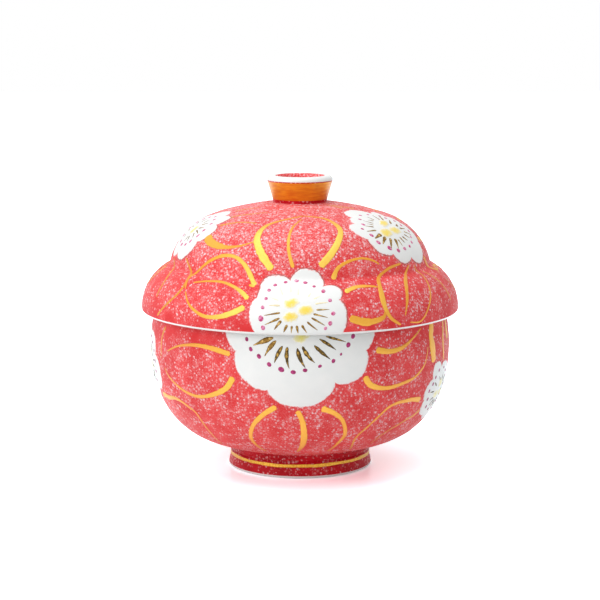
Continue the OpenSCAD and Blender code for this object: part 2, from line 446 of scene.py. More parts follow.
class Shaper(Nodes):
    # A node tree for shapes. Its inputs are a shape and, by name, a kind of socket or a number.
    def __init__(self, name, inputs):
        super().__init__(bpy.data.node_groups.new(name, "GeometryNodeTree"))
        face = self.tree.interface
        face.new_socket("Geometry", in_out="INPUT", socket_type="NodeSocketGeometry")
        for label, value in inputs.items():
            kind = value if isinstance(value, str) else "Float"
            socket = face.new_socket(label, in_out="INPUT", socket_type="NodeSocket" + kind)
            if kind == "Float":
                socket.default_value = value
        face.new_socket("Geometry", in_out="OUTPUT", socket_type="NodeSocketGeometry")
        self.source = self.add("NodeGroupInput").outputs
        self.place = self.get("GeometryNodeInputPosition")

    def carried(self, name, kind="FLOAT"):
        # A value that the points carry
        return self.get("GeometryNodeInputNamedAttribute", {"Name": name}, data_type=kind)

    def store(self, shape, name, value, kind="FLOAT", domain="POINT"):
        return self.get("GeometryNodeStoreNamedAttribute", {"Geometry": shape, "Name": name, "Value": value},
                        data_type=kind, domain=domain)

    def sample(self, shape, value, index, kind):
        return self.get("GeometryNodeSampleIndex", {"Geometry": shape, "Value": value, "Index": index},
                        data_type=kind, domain="POINT")

    def move(self, shape, place):
        return self.get("GeometryNodeSetPosition", {"Geometry": shape, "Position": place})

    def turned(self, place, angle):
        # A place turned about the axis, and taken from millimetres to metres
        turned = self.get("ShaderNodeVectorRotate", {"Vector": place, "Angle": angle}, rotation_type="Z_AXIS")
        return self.get("ShaderNodeVectorMath", {0: turned, "Scale": mm}, operation="SCALE")

    def smoothed(self, shape):
        smooth = self.get("GeometryNodeSetShadeSmooth", {"Geometry": shape})
        return self.get("GeometryNodeRealizeInstances", {"Geometry": smooth})

    def finish(self, shape):
        self.add("NodeGroupOutput", {0: shape})
        return self.tree


def wheelTree(name, materials):
    # The wheel turns an outline about the axis and gives each stretch its coat
    wheel = Shaper(name, {"Steps Round": "Int"})
    outline, steps = wheel.source[0], wheel.source[1]
    count = wheel.add("GeometryNodeAttributeDomainSize", {0: outline}).outputs["Point Count"]
    rows = wheel.calculate("ADD", steps, 1.0)
    grid = wheel.get("GeometryNodeMeshGrid", {"Vertices X": count, "Vertices Y": rows})
    index = wheel.get("GeometryNodeInputIndex")
    column = wheel.calculate("FLOOR", wheel.calculate("DIVIDE", index, rows))
    row = wheel.calculate("MODULO", index, rows)
    turn = wheel.calculate("MULTIPLY", wheel.calculate("DIVIDE", row, steps), 2 * math.pi)
    point = wheel.sample(outline, wheel.place, column, "FLOAT_VECTOR")
    shell = wheel.move(grid, wheel.turned(point, turn))
    faceColumn = wheel.calculate("FLOOR", wheel.calculate("DIVIDE", index, steps))
    coatNumber = wheel.carried("coat", "INT")
    coat = wheel.sample(outline, coatNumber, wheel.calculate("ADD", faceColumn, 1.0), "INT")
    shell = wheel.store(shell, "coat", coat, "INT", "FACE")
    shell = wheel.get("GeometryNodeMergeByDistance", {"Geometry": shell, "Distance": 0.002 * mm})
    shell = wheel.smoothed(wheel.get("GeometryNodeFlipFaces", {"Mesh": shell}))
    for number, material in enumerate(materials):
        wanted = wheel.get("FunctionNodeCompare", {2: coatNumber, 3: number},
                           data_type="INT", operation="EQUAL")
        shell = wheel.get("GeometryNodeSetMaterial",
                          {"Geometry": shell, "Selection": wanted, "Material": material})
    return wheel.finish(shell)


def bake(name, mesh, tree, values):
    # Runs a tree on a mesh and keeps the plain result as an object of its own
    carrier = addObject(name + "_flat", mesh)
    modifier = carrier.modifiers.new("shape", "NODES")
    modifier.node_group = tree
    for item in tree.interface.items_tree:
        if item.item_type == "SOCKET" and item.in_out == "INPUT" and item.name in values:
            modifier[item.identifier] = values[item.name]
    carrier.update_tag()
    bpy.context.view_layer.update()
    depsgraph = bpy.context.evaluated_depsgraph_get()
    result = bpy.data.meshes.new_from_object(carrier.evaluated_get(depsgraph), depsgraph=depsgraph)
    carrier.modifiers.remove(modifier)
    bpy.data.objects.remove(carrier)
    result.name = name
    print("made", name, "with", len(result.polygons), "faces")
    return addObject(name, result)


def throwOnWheel(name, strips):
    # strips are (coat, points) in order round the section
    points, coat, names = [], [], []
    for coatName, strip in strips:
        if coatName not in names:
            names.append(coatName)
        for point in strip:
            if not points or (point - points[-1]).length > samePoint:
                points.append(point)
                coat.append(names.index(coatName))
    mesh = chainMesh(name + "_outline", [(0.0, -p.x, p.y) for p in points])
    mesh.attributes.new("coat", "INT", "POINT").data.foreach_set("value", coat)
    tree = wheelTree(name + "_wheel", [coats[n] for n in names])
    return bake(name, mesh, tree, {"Steps Round": roundSteps})


def bowlStrips():
    # Recess, crimson cove, red wall, then white from the rim to the floor of the well
    steps, rimRound = bowl["recessSteps"], bowl["rimRound"]
    recess = [Vector((recessR * i / steps,
                      foot["height"] + bowl["recessRise"] * (1 + math.cos(math.pi * i / steps)) / 2))
              for i in range(steps + 1)]
    redWall, whiteRim = splitAt(bowlOutside, lineLength(bowlOutside) - bowl["whiteRim"])
    crimsonCove, redWall = splitAt(redWall, bowl["crimsonCove"])
    lipZ = bowl["rimZ"] - rimRound
    rimTop = arc((bowlOutside[-1].x - rimRound, lipZ), rimRound, 0, 90, bowl["rimSteps"])
    rimTop += arc((bowlInside[0].x + rimRound, lipZ), rimRound, 90, 180, bowl["rimSteps"])
    return [("white", recess), ("crimson", [recess[-1]] + crimsonCove), ("red", redWall),
            ("white", whiteRim + rimTop + bowlInside)]


bowlPiece = throwOnWheel("bowl_thrown", bowlStrips())
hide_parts("bowl_body")
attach(bowlPiece, "bowl")


def footLine():
    standR, round_, height = foot["standR"], foot["round"], foot["height"]
    innerR = standR - foot["width"]
    stand = arc((innerR + round_, round_), round_, 180, 270, foot["roundSteps"])
    turnUp = arc((standR - round_, round_), round_, 270, 360, foot["roundSteps"])
    wall = [turnUp[-1], Vector((neckR, height - foot["neck"])), Vector((neckR, height))]
    inner = [wall[-1], Vector((recessR, height)), stand[0]]
    whiteLine, crimson = splitAt(wall, foot["whiteLine"])
    return wall, [("bare", stand + turnUp[:2]), ("white", turnUp[1:] + whiteLine), ("crimson", crimson),
                  ("white", inner)]


footWall, footStrips = footLine()
footPiece = throwOnWheel("foot_thrown", footStrips)
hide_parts("foot_ring")
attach(footPiece, "bowl")

whiteEdge, redLid = splitAt(lidOutside, lid["whiteEdge"])
lidPiece = throwOnWheel("lid_thrown", [("white", lidInside + whiteEdge), ("red", redLid)])
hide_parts("lid_shell")
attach(lidPiece, "lid")


def knobStrips():
    lipR, round_, soft, turnIn = knob["lipR"], knob["lipRound"], knob["footSoft"], 90 + knob["redFrom"]
    lipZ, underZ, dishZ = knob["topZ"] - round_, seatZ - knob["sunk"], seatZ + knob["dishFloor"]
    dishR = lipR - knob["lip"]
    base, lipStart = Vector((knob["baseR"], seatZ)), Vector((lipR, lipZ))
    under = Vector((dishR, underZ))
    along = (lipStart - base).normalized()
    bend = softBend(base + Vector((soft, -knob["sunk"])), base, base + along * soft, knob["footSteps"])
    crimsonEnd = base + along * (soft + knob["crimsonLine"])
    goldEnd = lipStart - along * knob["redLine"]
    lip = arc((lipR - round_, lipZ), round_, 0, 90, knob["lipSteps"])
    lip += arc((dishR + round_, lipZ), round_, 90, turnIn, knob["turnInSteps"])
    wash = arc((dishR + round_, lipZ), round_, turnIn, 180, knob["dishSteps"])
    dish = [Vector((dishR - knob["dishTaper"], dishZ)), Vector((0, dishZ)), Vector((0, underZ)), under]
    return [("crimson", [under] + bend + [crimsonEnd]), ("lustre", [crimsonEnd, goldEnd]),
            ("crimson", [goldEnd, lipStart]), ("white", lip), ("red", wash + dish)]


knobPiece = throwOnWheel("knob_thrown", knobStrips())
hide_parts("lid_knob")
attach(knobPiece, "lid")
print("stage: turned pieces thrown")


# Painted decoration. It is drawn flat, in millimetres, and a node tree lays it on the turned glaze:
# x runs round the piece from a flower's heart, y up the glaze from its lower edge, z out of the glaze.

def glazeLine(name, points):
    return addObject(name, chainMesh(name, [(p.x, 0.0, p.y) for p in points]))


glazeLines = {"bowl": glazeLine("bowl_line", bowlOutside), "lid": glazeLine("lid_line", lidOutside)}
footGlazeLine = glazeLine("foot_line", footWall)
glazeTop = {"bowl": lineLength(bowlOutside) - bowl["whiteRim"], "lid": lineLength(lidOutside)}
glazeLow = {"bowl": bowl["crimsonCove"] + 1.0, "lid": lid["whiteEdge"] - 0.5}  # how low art may reach


def layingTree():
    # Lays flat art on a glaze line. Close to the axis, art is laid as if 3 mm from it.
    lay = Shaper("lay_on_glaze", {"Glaze Line": "Object"})
    flat = lay.split(lay.place)
    info = lay.add("GeometryNodeObjectInfo", {"Object": lay.source[1]})
    line = lay.get("GeometryNodeMeshToCurve", {"Mesh": info.outputs["Geometry"]})
    sample = lay.add("GeometryNodeSampleCurve", {"Curves": line, "Length": flat[1]}, mode="LENGTH").outputs
    spot, lean = lay.split(sample["Position"]), lay.split(sample["Tangent"])
    outR = lay.get("ShaderNodeMath", {0: lean[2], 1: flat[2], 2: spot[0]}, operation="MULTIPLY_ADD")
    outZ = lay.calculate("SUBTRACT", spot[2], lay.calculate("MULTIPLY", lean[0], flat[2]))
    part = lay.calculate("DIVIDE", flat[0], lay.calculate("MAXIMUM", spot[0], 3.0))
    front = lay.join(0.0, lay.calculate("MULTIPLY", outR, -1.0), outZ)
    turn = lay.calculate("ADD", part, lay.carried("azimuth"))
    return lay.finish(lay.move(lay.source[0], lay.turned(front, turn)))


layOnGlaze = layingTree()


def artTree(name, inputs):
    return Shaper(name, {"Glaze Line": "Object", **inputs})


def layAndCoat(art, shape, material):
    laid = art.get("GeometryNodeGroup", {0: shape, 1: art.source[1]}, node_tree=layOnGlaze)
    laid = art.smoothed(laid)
    return art.finish(art.get("GeometryNodeSetMaterial", {"Geometry": laid, "Material": material}))


def slabTree(material):
    slab = artTree("enamel_slab", {})
    return layAndCoat(slab, slab.source[0], material)


def strokeTree(name, material, inputs):
    # A brush stroke: a smooth path swept with a round tip, then pressed almost flat
    stroke = artTree(name, inputs)
    given, calculate = stroke.source, stroke.calculate
    path = stroke.get("GeometryNodeMeshToCurve", {"Mesh": given[0]})
    path = stroke.get("GeometryNodeCurveSplineType", {"Curve": path}, spline_type="CATMULL_ROM")
    path = stroke.get("GeometryNodeResampleCurve", {"Curve": path, "Length": given["Spacing"]}, mode="LENGTH")
    width = stroke.carried("halfWidth")
    gone = stroke.add("GeometryNodeSplineParameter").outputs["Length"]
    whole = stroke.add("GeometryNodeSplineLength").outputs["Length"]
    near = calculate("MINIMUM", gone, calculate("SUBTRACT", whole, gone))
    blunt = calculate("MULTIPLY", width, given["Blunt"])
    part = stroke.get("ShaderNodeMath", {0: near, 1: blunt}, operation="DIVIDE", use_clamp=True)
    rest = calculate("SUBTRACT", 1.0, part)
    tip = calculate("SQRT", calculate("SUBTRACT", 1.02, calculate("MULTIPLY", rest, rest)))
    bristle = stroke.get("ShaderNodeTexNoise", {"Vector": stroke.place, "Scale": 0.45, "Detail": 2.0})
    waver = stroke.get("ShaderNodeMapRange", {0: bristle, 1: 0.3, 2: 0.7, 3: given["Thin"], 4: given["Full"]})
    path = stroke.store(path, "reach", calculate("MULTIPLY", calculate("MULTIPLY", width, tip), waver))
    reach = stroke.carried("reach")
    ring = stroke.get("GeometryNodeCurvePrimitiveCircle", {"Resolution": 12, "Radius": 1.0})
    swept = stroke.get("GeometryNodeCurveToMesh",
                       {"Curve": path, "Profile Curve": ring, "Scale": reach, "Fill Caps": True})
    swept = stroke.store(swept, "middle", calculate("DIVIDE", stroke.split(stroke.place)[2], reach))
    press, raised = stroke.join(1.0, 1.0, given["Press"]), stroke.join(z=given["Rise"])
    pressed = stroke.vector("MULTIPLY_ADD", stroke.place, press, raised)
    return layAndCoat(stroke, stroke.move(swept, pressed), material)


def dropTree(name, material, fine, inputs):
    # Drops of enamel: one low bead on every point, each turned and pulled out of round
    drop = artTree(name, inputs)
    bead = drop.get("GeometryNodeMeshIcoSphere", {"Radius": 1.0, "Subdivisions": fine})
    bead = drop.store(bead, "heart", drop.split(drop.place)[2])
    spin = drop.join(z=drop.carried("turn"))
    drops = drop.get("GeometryNodeInstanceOnPoints",
                     {"Points": drop.source[0], "Instance": bead, "Rotation": spin,
                      "Scale": drop.carried("size", "FLOAT_VECTOR")})
    drops = drop.get("GeometryNodeRealizeInstances", {"Geometry": drops})
    wander = drop.add("ShaderNodeTexNoise",
                      {"Vector": drop.place, "Scale": drop.source["Wander Scale"], "Detail": 1.0})
    centred = drop.vector("SUBTRACT", wander.outputs["Color"], (0.5, 0.5, 0.5))
    pull = drop.vector("MULTIPLY", centred, drop.join(drop.source["Wander"], drop.source["Wander"]))
    drops = drop.get("GeometryNodeSetPosition", {"Geometry": drops, "Offset": pull})
    return layAndCoat(drop, drops, material)


artTrees = {
    "petal": slabTree(coats["petal"]),
    "gold": strokeTree("gold_stroke", coats["gold"], {
        "Spacing": 0.6, "Blunt": 0.5, "Press": 0.07, "Rise": 0.05, "Thin": 0.88, "Full": 1.12}),
    "stamen": strokeTree("stamen_stroke", coats["stamen"], {
        "Spacing": 0.4, "Blunt": 1.0, "Press": 0.2, "Rise": 0.17, "Thin": 0.8, "Full": 1.2}),
    "line": strokeTree("petal_line", coats["line"], {
        "Spacing": 0.5, "Blunt": 1.0, "Press": 0.3, "Rise": 0.03, "Thin": 0.5, "Full": 1.4}),
    "magenta": dropTree("magenta_drops", coats["magenta"], 2, {"Wander": 0.5, "Wander Scale": 0.5}),
    "yellow": dropTree("yellow_drops", coats["yellow"], 4, {"Wander": 2.2, "Wander Scale": 0.5}),
}


# Flowers. Directions are in degrees anticlockwise from the right, and lengths in millimetres.
# A notch is (direction, depth, reach of the petal that follows it); a stroke is a list of (x, y, half width).

flowers = {
    "lidFront": {
        "piece": "lid", "azimuth": -1, "up": 12.2, "seed": 3, "round": 0.75,
        "notches": [(14, 19.3, 21.9), (47, 16.7, 22.5), (101, 16.8, 22.0), (147, 19.7, 19.3),
                    (163, 18.9, 21.9), (232, 17.5, 21.5), (312, 20.0, 22.9)],
        "lines": [(16, 44), (47, 160), (-20, 12)],
        "dabs": [(128, 4.3, 3.2, 2.2), (0, 3.7, 3.4, 2.2), (-134, 4.1, 3.2, 2.2)],
        "dots": [(176, 15.2, 0.8), (194, 16.4, 1.2), (208, 16.9, 0.9), (159, 14.7, 0.75),
                 (142, 15.8, 0.85), (127, 16.3, 0.85), (109, 16, 0.85), (91, 16, 1.0), (77, 15.2, 0.9),
                 (59, 14.2, 0.65), (39, 14.7, 0.9), (17, 15.1, 0.8), (-6, 16, 0.9), (-22, 15.7, 0.9),
                 (-33, 14.8, 0.7)],
        "stamens": {"traced": [
            (-171, 7.4, -170, 14.9, 0.4, 0.2), (-155, 8.3, -155, 15.8, 0.46, 0.1),
            (-146, 8.2, -139, 13.2, 0.66, 0), (-124, 7.6, -121, 11.4, 0.6, 0),
            (-108, 7.1, -104, 10.4, 0.46, 0), (-91, 6.6, -87, 10.1, 0.6, 0),
            (-72, 6.7, -66, 10.8, 0.5, 0), (-49, 6.6, -44, 12.6, 0.44, 0), (-28, 7, -29, 14.1, 0.42, 0),
            (-13, 7.2, -14, 14, 0.4, 0.2), (1, 8.3, 1, 14.3, 0.38, 0.4), (20, 8.3, 14, 14.1, 0.38, 0.8),
            (165, 7.7, 171, 12.7, 0.38, 0.7), (36, 8.9, 33, 12.2, 0.3, 1), (53, 8, 55, 10.4, 0.3, 1),
            (87, 7.1, 88, 11, 0.3, 1), (108, 9, 103, 12.6, 0.3, 1), (131, 9.7, 122, 14.4, 0.3, 1),
            (151, 9.3, 154, 13.7, 0.3, 1)]},
    },
    "lidRight": {
        "piece": "lid", "azimuth": 56, "up": 51.7, "seed": 5, "round": 0.65,
        "notches": [(5, 17.5, 18.2), (34, 16.3, 19.7), (64, 16.0, 22.6), (127, 17.0, 18.2),
                    (156, 17.4, 22.5), (194, 19.6, 21.2), (234, 16.8, 19.2), (278, 16.8, 23.5),
                    (330, 21.6, 21.8)],
        "lines": [(194, 232), (236, 276), (280, 328), (332, 362)],
        "dabs": [(70, 4.6, 4.1, 2.2), (-26, 3.6, 3.9, 2.5), (202, 5.2, 4.1, 2.5)],
        "dots": [(101, 15.2, 0.7), (79, 14.5, 0.7), (127, 13.6, 0.7), (155, 13.3, 0.9),
                 (172, 16.2, 0.65), (189, 15.3, 1.0), (205, 16.3, 1.0), (225, 14.7, 1.15),
                 (246, 13.4, 1.0), (270, 12, 0.9), (295, 12.5, 0.8), (315, 13.8, 0.8), (331, 14.8, 0.75),
                 (346, 17, 0.75), (1, 14.4, 0.8), (16, 14.2, 0.7), (37, 12.8, 0.75), (50, 14, 0.7)],
        "stamens": {"traced": [
            (178, 9.5, 179, 15.5, 0.5, 0), (-165, 9.5, -163, 15.7, 0.92, 0),
            (-152, 9.1, -148, 15.2, 0.84, 0), (-135, 7.7, -131, 14.4, 0.7, 0),
            (-113, 6.6, -112, 12.3, 0.76, 0), (-96, 6.7, -93, 10.6, 0.42, 0), (-72, 6, -73, 9.7, 0.5, 0),
            (-52, 7.2, -52, 10.7, 0.5, 0), (-33, 9, -35, 13.1, 0.39, 0), (-19, 10.4, -23, 16.8, 0.39, 0),
            (-7, 9.2, -9, 14.6, 0.5, 0), (3, 8.5, 9, 11.4, 0.7, 0), (26, 6.6, 30, 11.7, 0.59, 0.1),
            (53, 8.4, 51, 14.4, 0.5, 0.2), (69, 7.8, 70, 14, 0.31, 0.2), (97, 8.3, 96, 12.4, 0.31, 0.2),
            (109, 7.9, 119, 10.5, 0.31, 0.2), (135, 7.6, 131, 12.6, 0.28, 0.2),
            (149, 8, 147, 11.2, 0.31, 0.2), (162, 8.9, 161, 13, 0.42, 0.1)]},
    },
    "lidLeft": {
        "piece": "lid", "azimuth": -73.5, "up": 49.6, "seed": 7, "round": 0.65,
        "notches": [(21, 15.0, 18.4), (66, 15.0, 18.8), (125, 13.5, 15.0), (175, 13.0, 15.0),
                    (228, 14.0, 17.0), (276, 13.9, 19.2), (337, 16.2, 19.5)],
        "lines": [(-80, -24), (-20, 18), (24, 60)],
        "dabs": [(-29, 1.6, 1.9, 2.8)],
        "dots": [(344, 11.8, 0.85), (322, 11.2, 0.85), (303, 10.9, 0.85), (276, 9.8, 0.9),
                 (247, 9.4, 0.8), (2, 11.3, 0.85), (29, 11, 0.8), (58, 10.4, 0.8), (87, 10.9, 0.75),
                 (112, 9.6, 0.8), (136, 9.2, 0.8), (161, 8.9, 0.8), (188, 9, 0.8), (218, 9.3, 0.8)],
        "stamens": {"traced": [
            (-8, 4.7, -13, 10, 0.41, 0.09), (-24, 5.6, -32, 9.6, 0.38, 0.09),
            (-53, 5.4, -55, 9.1, 0.33, 0.12), (-67, 5.2, -80, 8.4, 0.3, 0.15),
            (-133, 5.8, -118, 7.4, 0.3, 0.18), (10, 4.4, 14, 9, 0.41, 0.09),
            (45, 4.2, 38, 8.7, 0.38, 0.12), (70, 4.6, 72, 8.2, 0.3, 0.15), (118, 5, 105, 8, 0.3, 0.18),
            (148, 4.8, 150, 7.8, 0.3, 0.12), (176, 5, 178, 8, 0.35, 0.09), (-158, 5, -160, 8, 0.33, 0.12)]},
    },
    "lidBack": {
        "piece": "lid", "azimuth": 172, "up": 50.2, "seed": 11, "turn": 17,
        "dabs": [(75, 4.2, 3.4, 2.0), (-40, 3.8, 3.3, 2.1), (195, 4.6, 3.4, 2.2)],
        "stamens": {"count": 24, "first": 4, "inner": 6.2, "outer": 12.4, "width": 0.42},
    },
    "lidSkirtRight": {
        "piece": "lid", "azimuth": 115, "up": 12.8, "seed": 13, "turn": 30,
        "dabs": [(120, 4.2, 3.2, 2.2), (0, 3.8, 3.4, 2.2), (-120, 4.6, 3.2, 2.2)],
        "stamens": {"count": 24, "first": 2, "inner": 6.8, "outer": 13.4, "width": 0.42},
    },
    "lidSkirtLeft": {
        "piece": "lid", "azimuth": -132, "up": 12.0, "seed": 17, "turn": 50,
        "dabs": [(60, 4.2, 3.2, 2.2), (175, 3.8, 3.4, 2.2), (-65, 4.6, 3.2, 2.2)],
        "stamens": {"count": 24, "first": 6, "inner": 6.8, "outer": 13.4, "width": 0.42},
    },
    "bowlFront": {
        "piece": "bowl", "azimuth": 0, "up": 88.0, "seed": 19, "round": 0.65,
        "notches": [(30, 31.0, 35.0), (88, 30.0, 35.0), (145, 31.0, 35.4), (200, 31.2, 34.7),
                    (242, 31.0, 35.5), (303, 28.8, 35.4), (341, 32.0, 35.4)],
        "dabs": [(-80, 3.4, 3.4, 2.2), (40, 4.4, 3.4, 2.3), (150, 4.4, 3.4, 2.3)],
        "dots": [(192, 24.4, 0.9), (203, 23.9, 1.0), (214, 22, 1.1), (229, 20.8, 1.1), (245, 19.6, 1.3),
                 (261, 19.2, 1.1), (277, 18.2, 1.0), (298, 18.6, 0.8), (316, 20.5, 0.9),
                 (328, 21.5, 0.6), (341, 22.8, 1.1), (351, 24.1, 1.1), (8, 24.2, 0.9), (24, 22.4, 1.0),
                 (40, 20.6, 0.9), (140, 20.8, 1.0), (156, 22.6, 0.9), (173, 24.2, 1.0)],
        "stamens": {"traced": [
            (-162, 12.3, -160, 22.4, 1.05, 0.2), (-154, 11.6, -142, 19.9, 0.95, 0.16),
            (-136, 10.6, -127, 18.8, 0.92, 0), (-125, 9.5, -105, 18.1, 0.9, 0),
            (-98, 8.3, -82, 17.2, 0.94, 0), (-82, 7.5, -66, 16.3, 0.94, 0),
            (-49, 9.4, -45, 19.1, 0.8, 0), (-27, 9.5, -30.5, 18.7, 0.7, 0),
            (-16, 11.8, -16.4, 21.4, 0.62, 0), (6, 11.2, 8, 20.4, 0.6, 0), (28, 11, 30, 18.5, 0.6, 0),
            (50, 10.5, 52, 17.5, 0.6, 0), (72, 10, 75, 16, 0.6, 0), (95, 10, 98, 15, 0.6, 0),
            (118, 10.5, 115, 16, 0.6, 0), (140, 11, 138, 18, 0.6, 0), (172, 11.5, 174, 19, 0.7, 0)]},
    },
    "bowlRight": {
        "piece": "bowl", "azimuth": 70, "up": 51.2, "seed": 23, "round": 0.65,
        "notches": [(30, 14.0, 14.8), (101, 12.1, 17.9), (147, 13.5, 17.2), (189, 15.7, 16.7),
                    (236, 14.4, 15.9), (300, 13.4, 13.6), (350, 12.2, 14.6)],
        "dabs": [(90, 3.4, 2.7, 2.0), (-25, 3.4, 2.7, 2.0), (205, 3.6, 2.8, 2.0)],
        "dots": [(116, 11.8, 0.8), (138, 11.5, 0.8), (155, 11.4, 0.9), (172, 12.9, 0.85), (192, 12, 0.9),
                 (215, 11.8, 0.9), (243, 10.3, 0.8), (281, 10.2, 0.8), (310, 9.8, 0.8), (338, 9.8, 0.8),
                 (5, 10.4, 0.8), (32, 10.6, 0.8), (56, 10.4, 0.75), (80, 10.8, 0.8)],
        "stamens": {"traced": [
            (102, 4.4, 117, 8.4, 0.39, 0), (150, 5.8, 148, 10.3, 0.46, 0),
            (176, 6.3, 176, 12.0, 0.39, 0), (-150, 4.8, -157, 9.6, 0.41, 0),
            (-128, 5.0, -135, 10.2, 0.39, 0), (-105, 5, -110, 9.4, 0.39, 0),
            (-80, 4.9, -84, 8.8, 0.41, 0), (-55, 5, -58, 8.6, 0.37, 0), (-30, 4.8, -32, 8.4, 0.37, 0),
            (-5, 5, -6, 8.6, 0.39, 0), (20, 5, 22, 9, 0.34, 0), (45, 5, 46, 9, 0.39, 0),
            (72, 4.8, 74, 8.8, 0.34, 0)]},
    },
    "bowlLeft": {
        "piece": "bowl", "azimuth": -81.6, "up": 63.0, "seed": 29, "round": 0.65,
        "notches": [(21, 13.4, 17.2), (80, 14.5, 17.6), (140, 15.0, 18.0), (200, 15.0, 18.0),
                    (260, 14.5, 17.2), (315, 16.2, 19.7)],
        "dabs": [(90, 3.6, 2.8, 2.2), (-25, 3.6, 3.0, 2.2), (205, 3.6, 3.0, 2.1)],
        "dots": [(i * 24 + 8, 11.6 + 0.5 * (i % 2), 0.85) for i in range(15)],
        "stamens": {"count": 18, "first": 9, "inner": 5.4, "outer": 10.2, "width": 0.38},
    },
    "bowlBack": {
        "piece": "bowl", "azimuth": 176, "up": 86.0, "seed": 31, "size": 1.5, "turn": 8,
        "dabs": [(-80, 4.6, 4.2, 3.0), (45, 4.6, 3.8, 2.6), (155, 4.6, 3.8, 2.6)],
        "stamens": {"count": 22, "first": 5, "inner": 10.0, "outer": 18.5, "width": 0.6},
    },
    "bowlBackRight": {
        "piece": "bowl", "azimuth": 128, "up": 44.0, "seed": 37, "turn": 40,
        "dabs": [(100, 4.2, 3.0, 2.4), (-20, 4.2, 3.2, 2.4), (220, 4.2, 3.2, 2.2)],
        "stamens": {"count": 22, "first": 12, "inner": 6.6, "outer": 13.0, "width": 0.45},
    },
    "bowlBackLeft": {
        "piece": "bowl", "azimuth": -132, "up": 50.0, "seed": 41, "turn": 12,
        "dabs": [(60, 4.2, 3.0, 2.4), (-70, 4.2, 3.2, 2.4), (175, 4.2, 3.2, 2.2)],
        "stamens": {"count": 22, "first": 1, "inner": 6.6, "outer": 13.0, "width": 0.45},
    },
}

